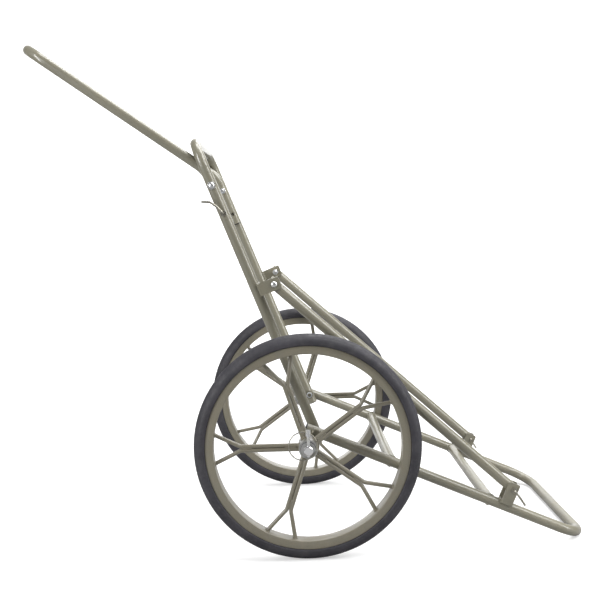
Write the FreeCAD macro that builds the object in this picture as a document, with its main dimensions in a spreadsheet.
import FreeCAD, Part
import math
import os
import Sketcher
from FreeCAD import Placement, Rotation, Vector

# Folding two-wheel haul cart, millimetres and degrees.
# +X runs forward to the foot loop that rests on the ground, +Y to the left,
# +Z up. The origin is on the ground, straight below the middle of the axle
# line. Left pieces are at +Y, right pieces at -Y.
# "along" sizes run along a tube, "off" sizes square to it, "side" and "half"
# sizes out from the cart's middle plane.

DIMENSIONS = {
    # frame tube
    "tube_radius": 11.0,
    "bed_bore": 8.8,
    "upright_bore": 9.5,
    "handle_bore": 9.8,
    "brace_bore": 9.5,
    "cap_thick": 2.0,
    # bed loop: side tubes slope down to the foot bar
    "bed_slope": 23.29,
    "bed_height": 262.86,
    "bed_start": -2.0,
    "bed_foot": 637.0,
    "bed_side": 230.0,
    "bed_corner": 60.0,
    "cross_front": 418.0,
    "cross_rear": 191.5,
    # upright loop
    "lean": 21.2,
    "pivot_bed": 18.6,
    "upright_tail": 23.0,
    "upright_rise": 656.3,
    "upright_side": 206.0,
    "upright_corner": 55.0,
    # handle loop
    "handle_pivot": 557.9,
    "handle_tail": 87.0,
    "lock_drop": 62.0,
    "handle_elbow": 35.0,
    "handle_rise": 35.4,
    "handle_reach": 456.9,
    "handle_side": 182.0,
    "handle_corner": 60.0,
    "elbow_bend": 70.0,
    # braces
    "brace_top_along": 320.6,
    "brace_top_off": 40.5,
    "brace_foot_along": 454.4,
    "brace_foot_off": 40.75,
    "brace_top_end": 13.0,
    "brace_foot_end": 7.0,
    "notch_half": 5.4,
    # U brackets; low, floor and top are heights above the tube's axis
    "bracket_long": 25.5,
    "bracket_shift": -3.3,
    "bracket_gap": 11.2,
    "bracket_plate": 3.0,
    "bracket_low": 6.0,
    "bracket_floor": 13.2,
    "bracket_top": 54.0,
    "bracket_round": 4.0,
    "hanger_inset": 6.0,
    # hinge bolts and pins, with their radial clearances
    "pivot_bolt": 5.0,
    "hinge_bolt": 4.0,
    "snug_gap": 0.02,
    "running_gap": 0.05,
    "pin_gap": 0.08,
    "lock_gap": 0.35,
    "pin_radius": 3.9,
    "pin_wire": 2.4,
    # wheels
    "wheel_radius": 235.0,
    "track_half": 277.5,
    "tyre_half": 20.0,
    "tyre_shoulder": 217.5,
    "tyre_bevel": 1.4,
    "rim_outer": 211.5,
    "rim_inner": 194.0,
    "rim_half": 17.0,
    "rim_sheet": 2.5,
    "rod_radius": 4.25,
    "rod_fork": 138.5,
    "rod_bend": 14.0,
    "rod_spread": 8.9,
    "spoke_count": 5.0,
    "phase_right": 35.9,
    "phase_left": 0.1,
    "hub_radius": 19.5,
    "hub_bore": 13.5,
    "hub_inside": 248.1,
    "hub_outside": 302.0,
    "bush_flange": 16.0,
    "bush_lip": 2.0,
    "bush_depth": 22.0,
    # stub axles and their brackets
    "axle_radius": 9.5,
    "axle_start": 218.5,
    "axle_end": 318.0,
    "axle_chamfer": 1.2,
    "sleeve_radius": 13.0,
    "sleeve_end": 244.0,
    "web_drop": 5.6,
    "head_room_radius": 9.4,
    "head_room_depth": 8.0,
    "washer_radius": 15.5,
    "washer_thick": 2.0,
    # linch pins and rings
    "linch_radius": 3.1,
    "linch_y": 309.4,
    "linch_drop": 15.0,
    "linch_top": 35.9,
    "ring_radius": 29.0,
    "ring_wire": 1.3,
    "ring_shift": -11.0,
    "eye_gap": 0.95,
}

SIDES = (("right", -1.0), ("left", 1.0))
CUT = 80.0           # length of a tool that passes right through one piece
FULL_CUT = 600.0     # length of a tool that passes through both handle legs
FOLD_RATIO = 0.26    # brace turning rate over upright turning rate, folding

doc = FreeCAD.newDocument("haul_cart")
sheet = doc.addObject("Spreadsheet::Sheet", "Sheet")
for row, (alias, number) in enumerate(DIMENSIONS.items(), start=1):
    sheet.set("A%d" % row, alias)
    sheet.set("B%d" % row, repr(number))
    sheet.setAlias("B%d" % row, alias)
doc.recompute()

NODES = {}  # file name -> document object


def val(alias):
    return float(getattr(sheet, alias))


def amount(expression):
    """Value of a number, or of spaced sums and products of sheet cells."""
    if not isinstance(expression, str):
        return float(expression)
    total, sign, term = 0.0, 1.0, 1.0
    for token in expression.split():
        if token in ("+", "-"):
            total += sign * term
            sign, term = (1.0 if token == "+" else -1.0), 1.0
        elif token.startswith("Sheet."):
            term *= val(token[len("Sheet."):])
        elif token != "*":
            term *= float(token)
    return total + sign * term


def keep(obj, node):
    obj.Label = node
    NODES[node] = obj


# ---------------------------------------------------------------- reference points
SLOPE = math.radians(val("bed_slope"))
LEAN = math.radians(val("lean"))
RISE = math.radians(val("handle_rise"))
Y_DIR = Vector(0, 1, 0)
Z_DIR = Vector(0, 0, 1)
BED_DIR = Vector(math.cos(SLOPE), 0, -math.sin(SLOPE))     # along the bed, to the foot
BED_UP = Vector(math.sin(SLOPE), 0, math.cos(SLOPE))       # square up from the bed
LEG_DIR = Vector(-math.sin(LEAN), 0, math.cos(LEAN))       # up the upright legs
LEG_FRONT = Vector(math.cos(LEAN), 0, math.sin(LEAN))      # square forward from them
HANDLE_DIR = Vector(-math.cos(RISE), 0, math.sin(RISE))    # up and back to the grip


def bed_pt(along_bed, off=0.0, y=0.0):
    origin = Vector(0, 0, val("bed_height"))
    return origin + BED_DIR * along_bed + BED_UP * off + Y_DIR * y


PIVOT = bed_pt(val("pivot_bed"))


def leg_pt(along_leg, off=0.0, y=0.0):
    return PIVOT + LEG_DIR * along_leg + LEG_FRONT * off + Y_DIR * y


AXLE = Vector(0, 0, val("wheel_radius"))
HANDLE_PIVOT = leg_pt(val("handle_pivot"))
LOCK = leg_pt(val("handle_pivot") - val("lock_drop"))
BRACE_TOP = leg_pt(val("brace_top_along"), val("brace_top_off"))
BRACE_FOOT = bed_pt(val("brace_foot_along"), val("brace_foot_off"))
BRACE_LINE = BRACE_FOOT - BRACE_TOP

# y of tube and bracket faces on the left side
BED_FACE = val("bed_side") + val("tube_radius")
LEG_OUTER = val("upright_side") + val("tube_radius")
LEG_INNER = val("upright_side") - val("tube_radius")
HANDLE_OUTER = val("handle_side") + val("tube_radius")
HANDLE_INNER = val("handle_side") - val("tube_radius")
BRACKET_HALF = val("bracket_gap") + val("bracket_plate")
BRACKET_OUTER = val("bed_side") + BRACKET_HALF
BRACKET_INNER = val("bed_side") - BRACKET_HALF


# ---------------------------------------------------------------- placements
def at_y(point, y):
    return Vector(point.x, y, point.z)


def along(point, direction):
    """Local Z turned to the direction."""
    return Placement(point, Rotation(Z_DIR, direction))


def across(point, y, sign=1.0):
    """Local Z turned to +Y or -Y, starting at the given y."""
    return along(at_y(point, y), Y_DIR * sign)


def tilted(point, x_dir):
    """Local X turned to x_dir, local Y left along the cart's Y."""
    z_dir = x_dir.cross(Y_DIR)
    return Placement(FreeCAD.Matrix(x_dir.x, 0, z_dir.x, point.x,
                                    x_dir.y, 1, z_dir.y, point.y,
                                    x_dir.z, 0, z_dir.z, point.z,
                                    0, 0, 0, 1))


# ---------------------------------------------------------------- Part objects
def bind(obj, **properties):
    for name, value in properties.items():
        if isinstance(value, str):
            obj.setExpression(name, value)
        else:
            setattr(obj, name, value)


def cyl(name, radius, height, place):
    obj = doc.addObject("Part::Cylinder", name)
    bind(obj, Radius=radius, Height=height)
    obj.Placement = place
    return obj


def cutter(name, radius, middle, direction):
    """Long cylinder centred on a point, used as a cutting tool."""
    return cyl(name, radius, CUT, along(middle - direction * (CUT / 2), direction))


def box(name, length, width, height, place):
    obj = doc.addObject("Part::Box", name)
    bind(obj, Length=length, Width=width, Height=height)
    obj.Placement = place
    return obj


def cut(name, base, tool):
    obj = doc.addObject("Part::Cut", name)
    obj.Base = base
    obj.Tool = tool
    return obj


def fuse(name, shapes):
    obj = doc.addObject("Part::MultiFuse", name)
    obj.Shapes = shapes
    obj.Refine = True
    return obj


def group(name, shapes):
    obj = doc.addObject("Part::Compound", name)
    obj.Links = shapes
    return obj


def feature(name, shape):
    obj = doc.addObject("Part::Feature", name)
    obj.Shape = shape
    return obj


# ---------------------------------------------------------------- sketched bodies
def sketch_on(body, role, name):
    plane = next(f for f in body.Origin.OriginFeatures if f.Role == role)
    sketch = body.newObject("Sketcher::SketchObject", name)
    sketch.AttachmentSupport = [(plane, "")]
    sketch.MapMode = "FlatFace"
    return sketch


def dimension(sketch, kind, refs, expression):
    constraint = Sketcher.Constraint(kind, *refs, amount(expression))
    index = sketch.addConstraint(constraint)
    if isinstance(expression, str):
        sketch.setExpression("Constraints[%d]" % index, expression)


def arc_left_of(x0, y0, x1, y1, radius):
    """Counter-clockwise arc whose centre lies left of the chord."""
    chord = math.hypot(x1 - x0, y1 - y0)
    rise = math.sqrt(max(radius * radius - chord * chord / 4, 0.0))
    center_x = (x0 + x1) / 2 - (y1 - y0) / chord * rise
    center_y = (y0 + y1) / 2 + (x1 - x0) / chord * rise
    start = math.atan2(y0 - center_y, x0 - center_x)
    end = math.atan2(y1 - center_y, x1 - center_x)
    if end < start:
        end += 2 * math.pi
    circle = Part.Circle(Vector(center_x, center_y, 0), Z_DIR, radius)
    return Part.ArcOfCircle(circle, start, end)


def profile(sketch, points, arcs):
    """Closed profile. points holds (x, y) expressions; arcs maps the index of
    a curved side to its radius."""
    corners = [(amount(x), amount(y)) for x, y in points]
    count = len(corners)
    for i in range(count):
        x0, y0 = corners[i]
        x1, y1 = corners[(i + 1) % count]
        if i in arcs:
            sketch.addGeometry(arc_left_of(x0, y0, x1, y1, amount(arcs[i])), False)
        else:
            line = Part.LineSegment(Vector(x0, y0, 0), Vector(x1, y1, 0))
            sketch.addGeometry(line, False)
    for i in range(count):
        sketch.addConstraint(Sketcher.Constraint("Coincident", i, 2, (i + 1) % count, 1))
    for i, point in enumerate(points):
        # a zero coordinate puts the corner on an axis: -2 is V, -1 is H
        for kind, axis, expression in (("DistanceX", -2, point[0]), ("DistanceY", -1, point[1])):
            if abs(amount(expression)) < 1e-9:
                sketch.addConstraint(Sketcher.Constraint("PointOnObject", i, 1, axis))
            else:
                dimension(sketch, kind, (-1, 1, i, 1), expression)
    for i, radius in arcs.items():
        dimension(sketch, "Radius", (i,), radius)


def turned(name, points, place, arcs=None):
    """Revolved body: the profile's x is the radius, y runs along the axis."""
    body = doc.addObject("PartDesign::Body", name)
    sketch = sketch_on(body, "XZ_Plane", name + "_profile")
    profile(sketch, points, arcs or {})
    turn = body.newObject("PartDesign::Revolution", name + "_turn")
    turn.Profile = sketch
    turn.ReferenceAxis = (sketch, ["V_Axis"])
    turn.Angle = 360.0
    body.Tip = turn
    body.Placement = place
    return body


def loop_spine(body, name, reach, width, corner):
    """U-shaped path: two legs along X joined by a bar at X = reach."""
    x_bar, y_leg, bend = amount(reach), amount(width), amount(corner)
    x_bend = x_bar - bend
    first_bend = Part.Circle(Vector(x_bend, bend, 0), Z_DIR, bend)
    second_bend = Part.Circle(Vector(x_bend, y_leg - bend, 0), Z_DIR, bend)
    spine = sketch_on(body, "XY_Plane", name + "_spine")
    spine.addGeometry([
        Part.LineSegment(Vector(0, 0, 0), Vector(x_bend, 0, 0)),
        Part.ArcOfCircle(first_bend, -math.pi / 2, 0),
        Part.LineSegment(Vector(x_bar, bend, 0), Vector(x_bar, y_leg - bend, 0)),
        Part.ArcOfCircle(second_bend, 0, math.pi / 2),
        Part.LineSegment(Vector(x_bend, y_leg, 0), Vector(0, y_leg, 0)),
    ], False)
    for i in range(4):
        spine.addConstraint(Sketcher.Constraint("Tangent", i, 2, i + 1, 1))
    for constraint in (("Coincident", 0, 1, -1, 1), ("Horizontal", 0), ("Vertical", 2),
                       ("Horizontal", 4), ("Equal", 1, 3), ("PointOnObject", 4, 2, -2)):
        spine.addConstraint(Sketcher.Constraint(*constraint))
    dimension(spine, "Radius", (1,), corner)
    dimension(spine, "DistanceX", (-1, 1, 2, 1), reach)
    dimension(spine, "DistanceY", (-1, 1, 4, 2), width)
    return spine


def loop_hole(body, name, index, position, radius, depth):
    """Hole bored across both legs of a loop."""
    sketch = sketch_on(body, "XZ_Plane", "%s_hole%d" % (name, index))
    circle = Part.Circle(Vector(amount(position), 0, 0), Z_DIR, amount(radius))
    hole = sketch.addGeometry(circle, False)
    sketch.addConstraint(Sketcher.Constraint("PointOnObject", hole, 3, -1))
    dimension(sketch, "DistanceX", (-1, 1, hole, 3), position)
    dimension(sketch, "Radius", (hole,), radius)
    doc.recompute()
    volume_before = body.Shape.Volume
    pocket = body.newObject("PartDesign::Pocket", "%s_bore%d" % (name, index))
    pocket.Profile = sketch
    pocket.Type = 0
    pocket.Length = depth
    # guards against a FreeCAD version whose pockets have no SideType
    try:
        pocket.SideType = "Symmetric"
    except Exception:
        pocket.Midplane = True
    body.Tip = pocket
    doc.recompute()
    if not body.Shape.Volume < volume_before - 1.0:
        raise RuntimeError("hole %d of %s cut nothing" % (index, name))


def bent_loop(name, reach, width, corner, bore, place, holes):
    """U-shaped tube; holes lists (position along the legs, radius)."""
    body = doc.addObject("PartDesign::Body", name)
    spine = loop_spine(body, name, reach, width, corner)
    section = sketch_on(body, "YZ_Plane", name + "_section")
    for radius in ("Sheet.tube_radius", bore):
        circle = Part.Circle(Vector(0, 0, 0), Z_DIR, amount(radius))
        index = section.addGeometry(circle, False)
        section.addConstraint(Sketcher.Constraint("Coincident", index, 3, -1, 1))
        dimension(section, "Radius", (index,), radius)
    doc.recompute()
    pipe = body.newObject("PartDesign::AdditivePipe", name + "_pipe")
    pipe.Profile = section
    pipe.Spine = (spine, ["Edge%d" % (i + 1) for i in range(5)])
    body.Tip = pipe
    doc.recompute()
    for index, (position, radius) in enumerate(holes):
        loop_hole(body, name, index, position, radius, depth=4 * amount(width))
    body.Placement = place
    return body


# ---------------------------------------------------------------- swept shapes
def pipe_shape(edges, radius, start, direction):
    wire = Part.Wire(Part.__sortEdges__(edges))
    ring = Part.Wire([Part.makeCircle(radius, start, direction)])
    return wire.makePipeShell([ring], True, True)


def rounded_path(points, radii):
    """Lines joined by arcs tangent at each inner corner."""
    edges = []
    last = points[0]
    for before, corner, after, radius in zip(points, points[1:], points[2:], radii):
        dir_in = (corner - before).normalize()
        dir_out = (after - corner).normalize()
        turn = math.acos(max(-1.0, min(1.0, dir_in.dot(dir_out))))
        tangent = radius * math.tan(turn / 2)
        arc_start = corner - dir_in * tangent
        arc_end = corner + dir_out * tangent
        inward = (dir_out - dir_in).normalize()
        center = corner + inward * (radius / math.cos(turn / 2))
        if (arc_start - last).Length > 1e-6:
            edges.append(Part.makeLine(last, arc_start))
        edges.append(Part.Arc(arc_start, center - inward * radius, arc_end).toShape())
        last = arc_end
    edges.append(Part.makeLine(last, points[-1]))
    return edges


# ---------------------------------------------------------------- frame tubes
def end_caps(tag, node, start, direction, half_width, bore):
    """Discs closing the open ends of a loop's two legs."""
    caps = [cyl(tag + side, bore, "Sheet.cap_thick",
                along(at_y(start, sign * half_width), direction)) for side, sign in SIDES]
    keep(group(tag + "s", caps), node)


def bed_frame():
    bed = bent_loop("BedLoop", reach="Sheet.bed_foot - Sheet.bed_start",
                    width="2 * Sheet.bed_side", corner="Sheet.bed_corner",
                    bore="Sheet.bed_bore",
                    place=tilted(bed_pt(val("bed_start"), 0, -val("bed_side")), BED_DIR),
                    holes=[("Sheet.pivot_bed - Sheet.bed_start",
                            "Sheet.pivot_bolt + Sheet.snug_gap")])
    keep(bed, "bed_frame")
    end_caps("BedCap", "bed_tube_caps", bed_pt(val("bed_start")), BED_DIR,
             val("bed_side"), "Sheet.bed_bore")


def cross_tube(node, position):
    """Tube between the bed's side tubes, coped to them."""
    place = along(bed_pt(position, 0, -val("bed_side")), Y_DIR)
    outer = cyl(node + "_outer", "Sheet.tube_radius", "2 * Sheet.bed_side", place)
    inner = cyl(node + "_inner", "Sheet.upright_bore", "2 * Sheet.bed_side", place)
    sides = [cutter(node + "_side" + side, "Sheet.tube_radius",
                    bed_pt(position, 0, sign * val("bed_side")), BED_DIR)
             for side, sign in SIDES]
    hollow = cut(node + "_hollow", outer, inner)
    keep(cut(node + "_coped", hollow, group(node + "_sides", sides)), node)


def upright_frame():
    tail = leg_pt(-val("upright_tail"))
    upright = bent_loop("UprightLoop", reach="Sheet.upright_rise + Sheet.upright_tail",
                        width="2 * Sheet.upright_side", corner="Sheet.upright_corner",
                        bore="Sheet.upright_bore",
                        place=tilted(at_y(tail, -val("upright_side")), LEG_DIR),
                        holes=[("Sheet.upright_tail",
                                "Sheet.pivot_bolt + Sheet.running_gap"),
                               ("Sheet.upright_tail + Sheet.handle_pivot",
                                "Sheet.hinge_bolt + Sheet.snug_gap"),
                               ("Sheet.upright_tail + Sheet.handle_pivot - Sheet.lock_drop",
                                "Sheet.pin_radius + Sheet.pin_gap")])
    keep(upright, "upright_frame")
    end_caps("UprightCap", "upright_tube_caps", tail, LEG_DIR,
             val("upright_side"), "Sheet.upright_bore")


def handle_frame():
    """Loop with its legs inside the upright legs, leaning back above the
    elbow. Its path leaves one plane, so it is swept from the cell sizes."""
    start = HANDLE_PIVOT - LEG_DIR * val("handle_tail")
    elbow = HANDLE_PIVOT + LEG_DIR * val("handle_elbow")
    top = elbow + HANDLE_DIR * val("handle_reach")
    half = val("handle_side")
    points = [at_y(point, -half) for point in (start, elbow, top)]
    points += [at_y(point, half) for point in (top, elbow, start)]
    edges = rounded_path(points, [val("elbow_bend"), val("handle_corner"),
                                  val("handle_corner"), val("elbow_bend")])
    outer = pipe_shape(edges, val("tube_radius"), points[0], LEG_DIR)
    inner = pipe_shape(edges, val("handle_bore"), points[0], LEG_DIR)
    tube = outer.cut(inner)
    for point, radius in ((HANDLE_PIVOT, val("hinge_bolt") + val("running_gap")),
                          (LOCK, val("pin_radius") + val("lock_gap"))):
        tube = tube.cut(Part.makeCylinder(radius, FULL_CUT, at_y(point, -FULL_CUT / 2), Y_DIR))
    keep(feature("HandleLoop", tube), "handle_frame")
    end_caps("HandleCap", "handle_tube_caps", start, LEG_DIR, half, "Sheet.handle_bore")


# ---------------------------------------------------------------- axles and brackets
def low_end(sign, near, far):
    """Lower y of a span given by its distances from the middle plane."""
    return min(sign * near, sign * far)


def stub_axle(side, sign):
    start, end = val("axle_start"), val("axle_end")
    rod = cyl("Axle_" + side, "Sheet.axle_radius", "Sheet.axle_end - Sheet.axle_start",
              across(AXLE, low_end(sign, start, end)))
    hole = cutter("AxleHole_" + side, "Sheet.linch_radius + Sheet.pin_gap",
                  at_y(AXLE, sign * val("linch_y")), Z_DIR)
    drilled = cut("AxleDrilled_" + side, rod, hole)
    doc.recompute()
    end_edges = [index for index, edge in enumerate(drilled.Shape.Edges, start=1)
                 if abs(edge.BoundBox.YMin - sign * end) < 1e-6
                 and abs(edge.BoundBox.YMax - sign * end) < 1e-6]
    chamfer = doc.addObject("Part::Chamfer", "AxleEnd_" + side)
    chamfer.Base = drilled
    chamfer.Edges = [(end_edges[-1], val("axle_chamfer"), val("axle_chamfer"))]
    keep(chamfer, "stub_axle_" + side)


def axle_bracket(side, sign):
    """Sleeve and web under the bed's side tube; the web stops web_drop below
    the tube's axis, clear of the pivot bolt."""
    sleeve = cyl("Sleeve_" + side, "Sheet.sleeve_radius", "Sheet.sleeve_end - Sheet.axle_start",
                 across(AXLE, low_end(sign, val("axle_start"), val("sleeve_end"))))
    from_bed = AXLE - bed_pt(0)
    axle_along, axle_off = from_bed.dot(BED_DIR), from_bed.dot(BED_UP)
    web_corner = bed_pt(axle_along - val("sleeve_radius"), axle_off,
                        sign * val("bed_side") - val("tube_radius"))
    web = box("Web_" + side, "2 * Sheet.sleeve_radius", "2 * Sheet.tube_radius",
              -axle_off - val("web_drop"), tilted(web_corner, BED_DIR))
    block = fuse("BracketBlock_" + side, [sleeve, web])
    tube = cutter("BracketTube_" + side, "Sheet.tube_radius",
                  bed_pt(0, 0, sign * val("bed_side")), BED_DIR)
    bore = cutter("BracketBore_" + side, "Sheet.axle_radius",
                  at_y(AXLE, sign * val("bed_side")), Y_DIR)
    # room for the pivot bolt's head
    head_y = low_end(sign, BED_FACE, BED_FACE + val("head_room_depth"))
    head = cyl("BracketHead_" + side, "Sheet.head_room_radius", "Sheet.head_room_depth",
               across(PIVOT, head_y))
    tools = group("BracketTools_" + side, [tube, bore, head])
    keep(cut("AxleBracket_" + side, block, tools), "axle_bracket_" + side)


def u_bracket(tag, origin, x_dir, y_mid, shift, inner_y=None):
    """Flat-steel U of two plates and a floor, with rounded top corners.
    origin is on the tube's axis, shift moves the U along the tube, and
    inner_y widens the floor to that y."""
    z_dir = x_dir.cross(Y_DIR)
    half = val("bracket_long") / 2

    def corner_at(y):
        point = origin + x_dir * (shift - half) + z_dir * val("bracket_low")
        return tilted(point + Y_DIR * y, x_dir)

    plates = [box("%s_plate%d" % (tag, index), "Sheet.bracket_long", "Sheet.bracket_plate",
                  "Sheet.bracket_top - Sheet.bracket_low", corner_at(y))
              for index, y in enumerate((y_mid - BRACKET_HALF, y_mid + val("bracket_gap")))]
    floor_ys = [y_mid - BRACKET_HALF, y_mid + BRACKET_HALF]
    if inner_y is not None:
        floor_ys.append(inner_y)
    floor = box(tag + "_floor", "Sheet.bracket_long", max(floor_ys) - min(floor_ys),
                "Sheet.bracket_floor - Sheet.bracket_low", corner_at(min(floor_ys)))
    u_shape = fuse(tag + "_u", plates + [floor])
    doc.recompute()
    rounding = val("bracket_round")
    picks = []
    for index, edge in enumerate(u_shape.Shape.Edges, start=1):
        center = edge.CenterOfMass - origin
        at_top = abs(center.dot(z_dir) - val("bracket_top")) < 1e-6
        at_end = abs(abs(center.dot(x_dir) - shift) - half) < 1e-6
        if at_top and at_end and edge.Length < val("bracket_plate") + 0.1:
            picks.append((index, rounding, rounding))
    fillet = doc.addObject("Part::Fillet", tag + "_corners")
    fillet.Base = u_shape
    fillet.Edges = picks
    return fillet


def foot_bracket(side, sign):
    """U on top of the bed tube that takes the brace pin."""
    y = sign * val("bed_side")
    origin = bed_pt(val("brace_foot_along"))
    base = u_bracket("FootBracket_" + side, origin, BED_DIR, y, val("bracket_shift"))
    tools = group("FootBracketTools_" + side, [
        cutter("FootBracketTube_" + side, "Sheet.tube_radius", at_y(origin, y), BED_DIR),
        cutter("FootBracketHole_" + side, "Sheet.pin_radius + Sheet.pin_gap",
               at_y(BRACE_FOOT, y), Y_DIR)])
    keep(cut("FootBracketCut_" + side, base, tools), "brace_bracket_" + side)


def hanger(side, sign):
    """U on the front of the upright leg that takes the brace's hinge bolt."""
    y = sign * val("bed_side")
    origin = leg_pt(val("brace_top_along"))
    base = u_bracket("Hanger_" + side, origin, LEG_DIR * -1.0, y, 0.0,
                     inner_y=sign * (val("upright_side") - val("hanger_inset")))
    tools = group("HangerTools_" + side, [
        cutter("HangerTube_" + side, "Sheet.tube_radius",
               at_y(origin, sign * val("upright_side")), LEG_DIR),
        cutter("HangerHole_" + side, "Sheet.hinge_bolt + Sheet.snug_gap",
               at_y(BRACE_TOP, y), Y_DIR)])
    keep(cut("HangerCut_" + side, base, tools), "brace_hanger_" + side)


# ---------------------------------------------------------------- braces
def fold_direction():
    """Velocity of the brace's foot as the frame starts to fold."""
    arm = BRACE_TOP - PIVOT
    velocity = Vector(arm.z, 0, -arm.x) + Vector(-BRACE_LINE.z, 0, BRACE_LINE.x) * FOLD_RATIO
    return velocity.normalize()


def brace(side, sign):
    y = sign * val("bed_side")
    foot = at_y(BRACE_FOOT, y)
    direction = (BRACE_FOOT - BRACE_TOP).normalize()
    place = along(at_y(BRACE_TOP - direction * val("brace_top_end"), y), direction)
    length = BRACE_LINE.Length + val("brace_top_end") + val("brace_foot_end")
    outer = cyl("BraceOuter_" + side, "Sheet.tube_radius", length, place)
    inner = cyl("BraceInner_" + side, "Sheet.brace_bore", length, place)
    hole = cutter("BraceHole_" + side, "Sheet.hinge_bolt + Sheet.running_gap",
                  at_y(BRACE_TOP, y), Y_DIR)
    seat = cutter("BraceSeat_" + side, "Sheet.notch_half", foot, Y_DIR)
    # the notch opens against the foot's motion, so the brace lifts off its pin
    lift = fold_direction()
    corner = foot - (lift + Y_DIR) * (CUT / 2) - lift.cross(Y_DIR) * val("notch_half")
    mouth = box("BraceMouth_" + side, CUT / 2, CUT, "2 * Sheet.notch_half",
                tilted(corner, lift))
    hollow = cut("BraceTube_" + side, outer, inner)
    tools = group("BraceTools_" + side, [hole, seat, mouth])
    keep(cut("BraceCut_" + side, hollow, tools), "brace_" + side)


# ---------------------------------------------------------------- bolts, nuts, washers
# Places along Y are distances out from the middle plane.
def make_bolt(tag, point, sign, radius, head, tip, head_radius, head_height):
    """Bolt along Y, its tapered head outboard: shank from head to tip."""
    shank = cyl(tag + "_shank", radius, head - tip, across(point, low_end(sign, tip, head)))
    cap = doc.addObject("Part::Cone", tag + "_head")
    bind(cap, Radius1=head_radius, Radius2=head_radius * 0.62, Height=head_height)
    cap.Placement = across(point, sign * head, sign)
    return fuse(tag, [shank, cap])


def make_nut(tag, point, sign, radius, seat, corner_radius, thick):
    """Hex nut that runs inboard from its seat."""
    overrun = 1.0
    hexagon = doc.addObject("Part::Prism", tag + "_hex")
    hexagon.Polygon = 6
    bind(hexagon, Circumradius=corner_radius, Height=thick)
    hexagon.Placement = across(point, sign * seat, -sign)
    bore = cyl(tag + "_bore", radius, thick + 2 * overrun,
               across(point, sign * (seat + overrun), -sign))
    return cut(tag, hexagon, bore)


def washer(tag, point, sign, near, thick, outer, shaft):
    """Washer with its inboard face at near, a snug fit on the shaft radius."""
    y = low_end(sign, near, near + thick)
    disc = cyl(tag + "_disc", outer, thick, across(point, y))
    eye = cyl(tag + "_eye", shaft + " + Sheet.snug_gap", 3 * thick, across(point, y - thick))
    return cut(tag, disc, eye)


def hinge(tag, node, point, radius, bolt, nut, disc_radius=None, discs=()):
    """Bolt, nut and washers of a hinge, both sides. discs lists
    (name, inboard face, thickness)."""
    bolts, nuts, washers = [], [], []
    for side, sign in SIDES:
        bolts.append(make_bolt(tag + "Bolt_" + side, point, sign, radius, **bolt))
        nuts.append(make_nut(tag + "Nut_" + side, point, sign, radius, **nut))
        for name, near, thick in discs:
            washers.append(washer(tag + name + "_" + side, point, sign, near, thick,
                                  disc_radius, radius))
    keep(group(tag + "Bolts", bolts), node + "_bolts")
    keep(group(tag + "Nuts", nuts), node + "_nuts")
    if washers:
        keep(group(tag + "Spacers", washers), node + "_washers")


def hinges():
    pivot_seat = LEG_INNER - 1.7
    hinge("Pivot", "frame_pivot", PIVOT, "Sheet.pivot_bolt",
          bolt=dict(head=BED_FACE, tip=LEG_INNER - 10.2, head_radius=8.6, head_height=4.0),
          nut=dict(seat=pivot_seat, corner_radius=9.2, thick=7.5),
          disc_radius=9.5,
          discs=(("Spacer", LEG_OUTER + val("running_gap"), 1.9),
                 ("Washer", pivot_seat, 1.6)))
    outer_washer = 1.6
    hinge("Handle", "handle_pivot", HANDLE_PIVOT, "Sheet.hinge_bolt",
          bolt=dict(head=LEG_OUTER + outer_washer, tip=HANDLE_INNER - 9.0,
                    head_radius=6.6, head_height=4.6),
          nut=dict(seat=HANDLE_INNER - 0.1, corner_radius=7.5, thick=7.0),
          disc_radius=8.5,
          discs=(("Spacer", HANDLE_OUTER + 0.1, 1.85),
                 ("Washer", LEG_OUTER, outer_washer)))
    hinge("Brace", "brace_pivot", BRACE_TOP, "Sheet.hinge_bolt",
          bolt=dict(head=BRACKET_OUTER, tip=BRACKET_INNER - 8.5,
                    head_radius=6.6, head_height=4.4),
          nut=dict(seat=BRACKET_INNER, corner_radius=7.5, thick=7.0))


def axle_washers(tag, node, face):
    discs = [washer("%s_%s" % (tag, side), AXLE, sign, face + val("running_gap"),
                    val("washer_thick"), "Sheet.washer_radius", "Sheet.axle_radius")
             for side, sign in SIDES]
    keep(group(tag + "s", discs), node)


# ---------------------------------------------------------------- locking pins
def locking_pins(tag, node, point, y_tip, y_face, tail):
    """Straight shank, collar and bent wire tail, modelled on the left and
    mirrored to the right. tail lists (x, z) offsets of the wire's corners."""
    radius = val("pin_radius")
    nose_length = 1.2
    wire_y = y_face + 9.0
    shank = Part.makeCylinder(radius, y_face - y_tip - nose_length,
                              at_y(point, y_tip + nose_length), Y_DIR)
    nose = Part.makeCone(radius - 1.2, radius, nose_length, at_y(point, y_tip), Y_DIR)
    collar = Part.makeCylinder(radius + 2.2, 2.6, at_y(point, y_face), Y_DIR)
    path = [at_y(point, y_face + 1.0), at_y(point, wire_y)]
    path += [Vector(point.x + x, wire_y, point.z + z) for x, z in tail]
    bends = [4.5] + [12.0] * (len(tail) - 1)
    wire = pipe_shape(rounded_path(path, bends), val("pin_wire"), path[0], Y_DIR)
    pin = shank.fuse([nose, collar, wire]).removeSplitter()
    keep(feature(tag + "_left", pin), node + "_left")
    keep(feature(tag + "_right", pin.mirror(Vector(0, 0, 0), Y_DIR)), node + "_right")


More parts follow.
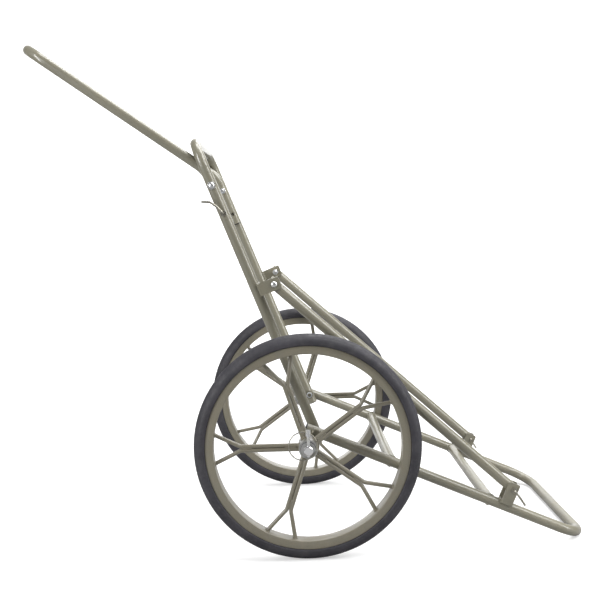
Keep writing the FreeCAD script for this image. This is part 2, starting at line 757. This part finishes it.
# ---------------------------------------------------------------- wheels
# Turned profiles list (radius, distance along the axle).
def tyre(side, sign):
    """Solid tyre seated in the rim channel."""
    near_seat = "Sheet.tyre_half - Sheet.rim_half + Sheet.rim_sheet"
    far_seat = "Sheet.tyre_half + Sheet.rim_half - Sheet.rim_sheet"
    seat = "Sheet.rim_inner + Sheet.rim_sheet"
    points = [
        (seat, near_seat),
        ("Sheet.rim_outer", near_seat),
        ("Sheet.rim_outer", "Sheet.tyre_bevel"),
        ("Sheet.rim_outer + Sheet.tyre_bevel", 0.0),
        ("Sheet.tyre_shoulder", 0.0),
        ("Sheet.tyre_shoulder", "2 * Sheet.tyre_half"),
        ("Sheet.rim_outer + Sheet.tyre_bevel", "2 * Sheet.tyre_half"),
        ("Sheet.rim_outer", "2 * Sheet.tyre_half - Sheet.tyre_bevel"),
        ("Sheet.rim_outer", far_seat),
        (seat, far_seat),
    ]
    # crown radius that reaches the wheel radius from the shoulders
    rise = val("wheel_radius") - val("tyre_shoulder")
    crown = (val("tyre_half") ** 2 + rise ** 2) / (2 * rise)
    place = across(AXLE, sign * (val("track_half") - val("tyre_half")), sign)
    keep(turned("Tyre_" + side, points, place, arcs={4: crown}), "tyre_" + side)


def rim(side, sign):
    """Channel rim, open outwards."""
    floor = "Sheet.rim_inner + Sheet.rim_sheet"
    points = [
        ("Sheet.rim_inner", 0.0),
        ("Sheet.rim_outer", 0.0),
        ("Sheet.rim_outer", "Sheet.rim_sheet"),
        (floor, "Sheet.rim_sheet"),
        (floor, "2 * Sheet.rim_half - Sheet.rim_sheet"),
        ("Sheet.rim_outer", "2 * Sheet.rim_half - Sheet.rim_sheet"),
        ("Sheet.rim_outer", "2 * Sheet.rim_half"),
        ("Sheet.rim_inner", "2 * Sheet.rim_half"),
    ]
    place = across(AXLE, sign * (val("track_half") - val("rim_half")), sign)
    keep(turned("Rim_" + side, points, place), "rim_" + side)


def hub(side, sign):
    """Hub barrel."""
    points = [
        ("Sheet.hub_bore", 0.0),
        ("Sheet.hub_radius", 0.0),
        ("Sheet.hub_radius", "Sheet.hub_outside - Sheet.hub_inside"),
        ("Sheet.hub_bore", "Sheet.hub_outside - Sheet.hub_inside"),
    ]
    place = across(AXLE, sign * val("hub_inside"), sign)
    keep(turned("Hub_" + side, points, place), "hub_" + side)


def hub_bushes(side, sign):
    """Flanged bushes pressed into both ends of the hub."""
    points = [
        ("Sheet.axle_radius + Sheet.running_gap", 0.0),
        ("Sheet.bush_flange", 0.0),
        ("Sheet.bush_flange", "Sheet.bush_lip"),
        ("Sheet.hub_bore", "Sheet.bush_lip"),
        ("Sheet.hub_bore", "Sheet.bush_depth"),
        ("Sheet.axle_radius + Sheet.running_gap", "Sheet.bush_depth"),
    ]
    inside = sign * (val("hub_inside") - val("bush_lip"))
    outside = sign * (val("hub_outside") + val("bush_lip"))
    bushes = [turned("BushIn_" + side, points, across(AXLE, inside, sign)),
              turned("BushOut_" + side, points, across(AXLE, outside, -sign))]
    keep(group("Bushes_" + side, bushes), "hub_bushes_" + side)


def spoke_rods(side, sign):
    """Bent rods in pairs, each pair forking to the rim."""
    radius = val("rod_radius")
    spread = math.radians(val("rod_spread"))
    count = int(val("spoke_count"))
    pair_offset = radius + 0.02   # half the spacing of a pair's axes
    hub_overlap = 3.5             # the rod starts inside the hub and is trimmed
    rim_overlap = 6.0             # it ends beyond the rim's inside and is trimmed
    trim_width = 100.0
    trim_start = Vector(0, -trim_width / 2, 0)
    hub_trim = Part.makeCylinder(val("hub_radius"), trim_width, trim_start, Y_DIR)
    rim_trim = Part.makeCylinder(val("rim_inner"), trim_width, trim_start, Y_DIR)
    solids = []
    for half in (1.0, -1.0):
        start = Vector(val("hub_radius") - hub_overlap, 0, half * pair_offset)
        fork = Vector(val("rod_fork"), 0, half * pair_offset)
        rim_point = Vector(val("rim_inner") * math.cos(spread), 0,
                           half * val("rim_inner") * math.sin(spread))
        end = rim_point + (rim_point - fork).normalize() * rim_overlap
        path = rounded_path([start, fork, end], [val("rod_bend")])
        rod = pipe_shape(path, radius, start, Vector(1, 0, 0))
        rod = rod.cut(hub_trim).common(rim_trim)
        for i in range(count):
            spoke = rod.copy()
            # angles count from +X towards +Z
            spoke.rotate(Vector(0, 0, 0), Vector(0, -1, 0),
                         val("phase_" + side) + i * 360.0 / count)
            spoke.translate(at_y(AXLE, sign * val("track_half")))
            solids.extend(spoke.Solids)
    keep(feature("Spokes_" + side, Part.makeCompound(solids)), "spoke_rods_" + side)


def linch_pin(side, sign):
    """Upright pin across the axle end, and the spring ring through its eye."""
    y = sign * val("linch_y")
    radius = val("linch_radius")
    bottom = AXLE.z - val("linch_drop")
    eye_z = AXLE.z + val("linch_top")
    tip_length = 2.0
    head_height = 12.0
    head_z = eye_z - head_height / 2
    eye_length = 16.0
    shank = Part.makeCylinder(radius, head_z - bottom - tip_length,
                              Vector(0, y, bottom + tip_length), Z_DIR)
    tip = Part.makeCone(radius - 1.3, radius, tip_length, Vector(0, y, bottom), Z_DIR)
    head = Part.makeCylinder(5.2, head_height, Vector(0, y, head_z), Z_DIR)
    pin = head.fuse([shank, tip]).removeSplitter()
    # the ring hangs from the eye and circles the axle end, set to the rear
    ring_x = val("ring_shift")
    ring_drop = math.sqrt(val("ring_radius") ** 2 - ring_x ** 2)
    eye_dir = Vector(ring_drop, 0, ring_x).normalize()   # tangent to the ring
    eye = Part.makeCylinder(val("ring_wire") + val("eye_gap"), eye_length,
                            Vector(0, y, eye_z) - eye_dir * (eye_length / 2), eye_dir)
    keep(feature("LinchPin_" + side, pin.cut(eye)), "linch_pin_" + side)
    ring = doc.addObject("Part::Torus", "LinchRing_" + side)
    bind(ring, Radius1="Sheet.ring_radius", Radius2="Sheet.ring_wire")
    ring.Placement = along(Vector(ring_x, y, eye_z - ring_drop), Y_DIR)
    keep(ring, "linch_ring_" + side)


# ---------------------------------------------------------------- build
bed_frame()
cross_tube("bed_cross_tube_front", val("cross_front"))
cross_tube("bed_cross_tube_rear", val("cross_rear"))
upright_frame()
handle_frame()
for build_piece in (stub_axle, axle_bracket, foot_bracket, hanger, brace,
                    tyre, rim, hub, hub_bushes, spoke_rods, linch_pin):
    for side, sign in SIDES:
        build_piece(side, sign)
hinges()
locking_pins("BracePin", "brace_pin", BRACE_FOOT, y_tip=BRACKET_INNER - 4.0,
             y_face=BRACKET_OUTER, tail=[(8.0, -11.0), (21.0, -31.0)])
locking_pins("LockPin", "handle_lock_pin", LOCK, y_tip=LEG_INNER + 0.6,
             y_face=LEG_OUTER, tail=[(-12.0, 13.0), (-26.0, 23.5), (-44.0, 24.5)])
axle_washers("InnerWasher", "axle_washers_inner", val("sleeve_end"))
axle_washers("OuterWasher", "axle_washers_outer", val("hub_outside") + val("bush_lip"))

# ---------------------------------------------------------------- check and export
doc.recompute()
faults = ["%s: %s" % (obj.Label, obj.State) for obj in doc.Objects
          if "Invalid" in obj.State or "Error" in obj.State]
for node, obj in NODES.items():
    if obj.Shape.isNull() or not obj.Shape.isValid() or not obj.Shape.Solids:
        faults.append("%s: null or invalid shape" % node)
if faults:
    raise RuntimeError("; ".join(faults))
os.makedirs("parts", exist_ok=True)
for node, obj in NODES.items():
    obj.Shape.exportStep(os.path.join("parts", node + ".step"))
